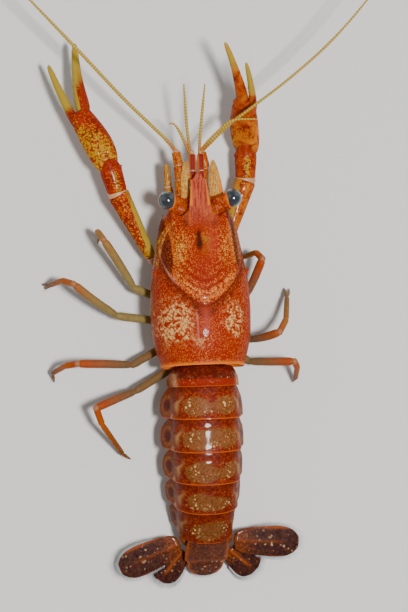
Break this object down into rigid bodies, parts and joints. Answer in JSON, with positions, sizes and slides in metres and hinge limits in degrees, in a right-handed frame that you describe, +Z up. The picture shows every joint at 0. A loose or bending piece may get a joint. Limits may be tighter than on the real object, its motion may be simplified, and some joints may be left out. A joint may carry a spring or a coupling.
{
  "type": "patzcuaro dwarf crayfish, still life-size model",
  "caption": "Life-size still model of an orange dwarf crayfish standing on its legs, claws held forward, long feelers raised, tail fan spread.",
  "frame": {"origin": "centre of the bounding box, on the floor that the animal stands on", "axes": "+Y towards the head, +X the animal's right side, +Z up"},
  "size_m": [0.0436, 0.0676, 0.0141],
  "materials": {
    "shell": "orange-red chitin with fine pale veining, satin to glossy",
    "abdomen": "red-brown chitin with olive ovals, cream dots and orange rear margins",
    "tail_fan": "translucent brown-purple blades with orange edges",
    "claw": "orange-red chitin with yellow mottling, yellow finger tips",
    "leg": "thin amber-brown chitin with pale sheen and orange joints",
    "feeler": "yellow with dark rings",
    "eye": "dark blue-grey, wet gloss"
  },
  "bodies": {
    "root": {"antenna_L": "feeler", "antenna_R": "feeler", "antenna_scale_L": "feeler", "antenna_scale_R": "feeler", "antenna_stalk_L": "shell", "antenna_stalk_R": "shell", "antennule_L": "shell", "antennule_R": "shell", "arm_root_L": "leg", "arm_root_R": "leg", "carapace": "shell", "claw_L": "claw", "claw_R": "claw", "claw_finger_L": "claw", "claw_finger_R": "claw", "eye_L": "eye", "eye_R": "eye", "eyestalk_L": "shell", "eyestalk_R": "shell", "forearm_L": "claw", "forearm_R": "claw", "leg_2_lower_L": "leg", "leg_2_lower_R": "leg", "leg_2_upper_L": "leg", "leg_2_upper_R": "leg", "leg_3_lower_L": "leg", "leg_3_lower_R": "leg", "leg_3_upper_L": "leg", "leg_3_upper_R": "leg", "leg_4_lower_L": "leg", "leg_4_lower_R": "leg", "leg_4_upper_L": "leg", "leg_4_upper_R": "leg", "leg_5_lower_L": "leg", "leg_5_lower_R": "leg", "leg_5_upper_L": "leg", "leg_5_upper_R": "leg", "maxilliped_L": "leg", "maxilliped_R": "leg", "somite_1": "abdomen", "somite_2": "abdomen", "somite_3": "abdomen", "somite_4": "abdomen", "somite_5": "abdomen", "somite_6": "abdomen", "sternum": "leg", "telson": "tail_fan", "upper_arm_L": "claw", "upper_arm_R": "claw", "uropod_base_L": "shell", "uropod_base_R": "shell", "uropod_inner_L": "tail_fan", "uropod_inner_R": "tail_fan", "uropod_outer_L": "tail_fan", "uropod_outer_R": "tail_fan"}
  },
  "joints": []
}
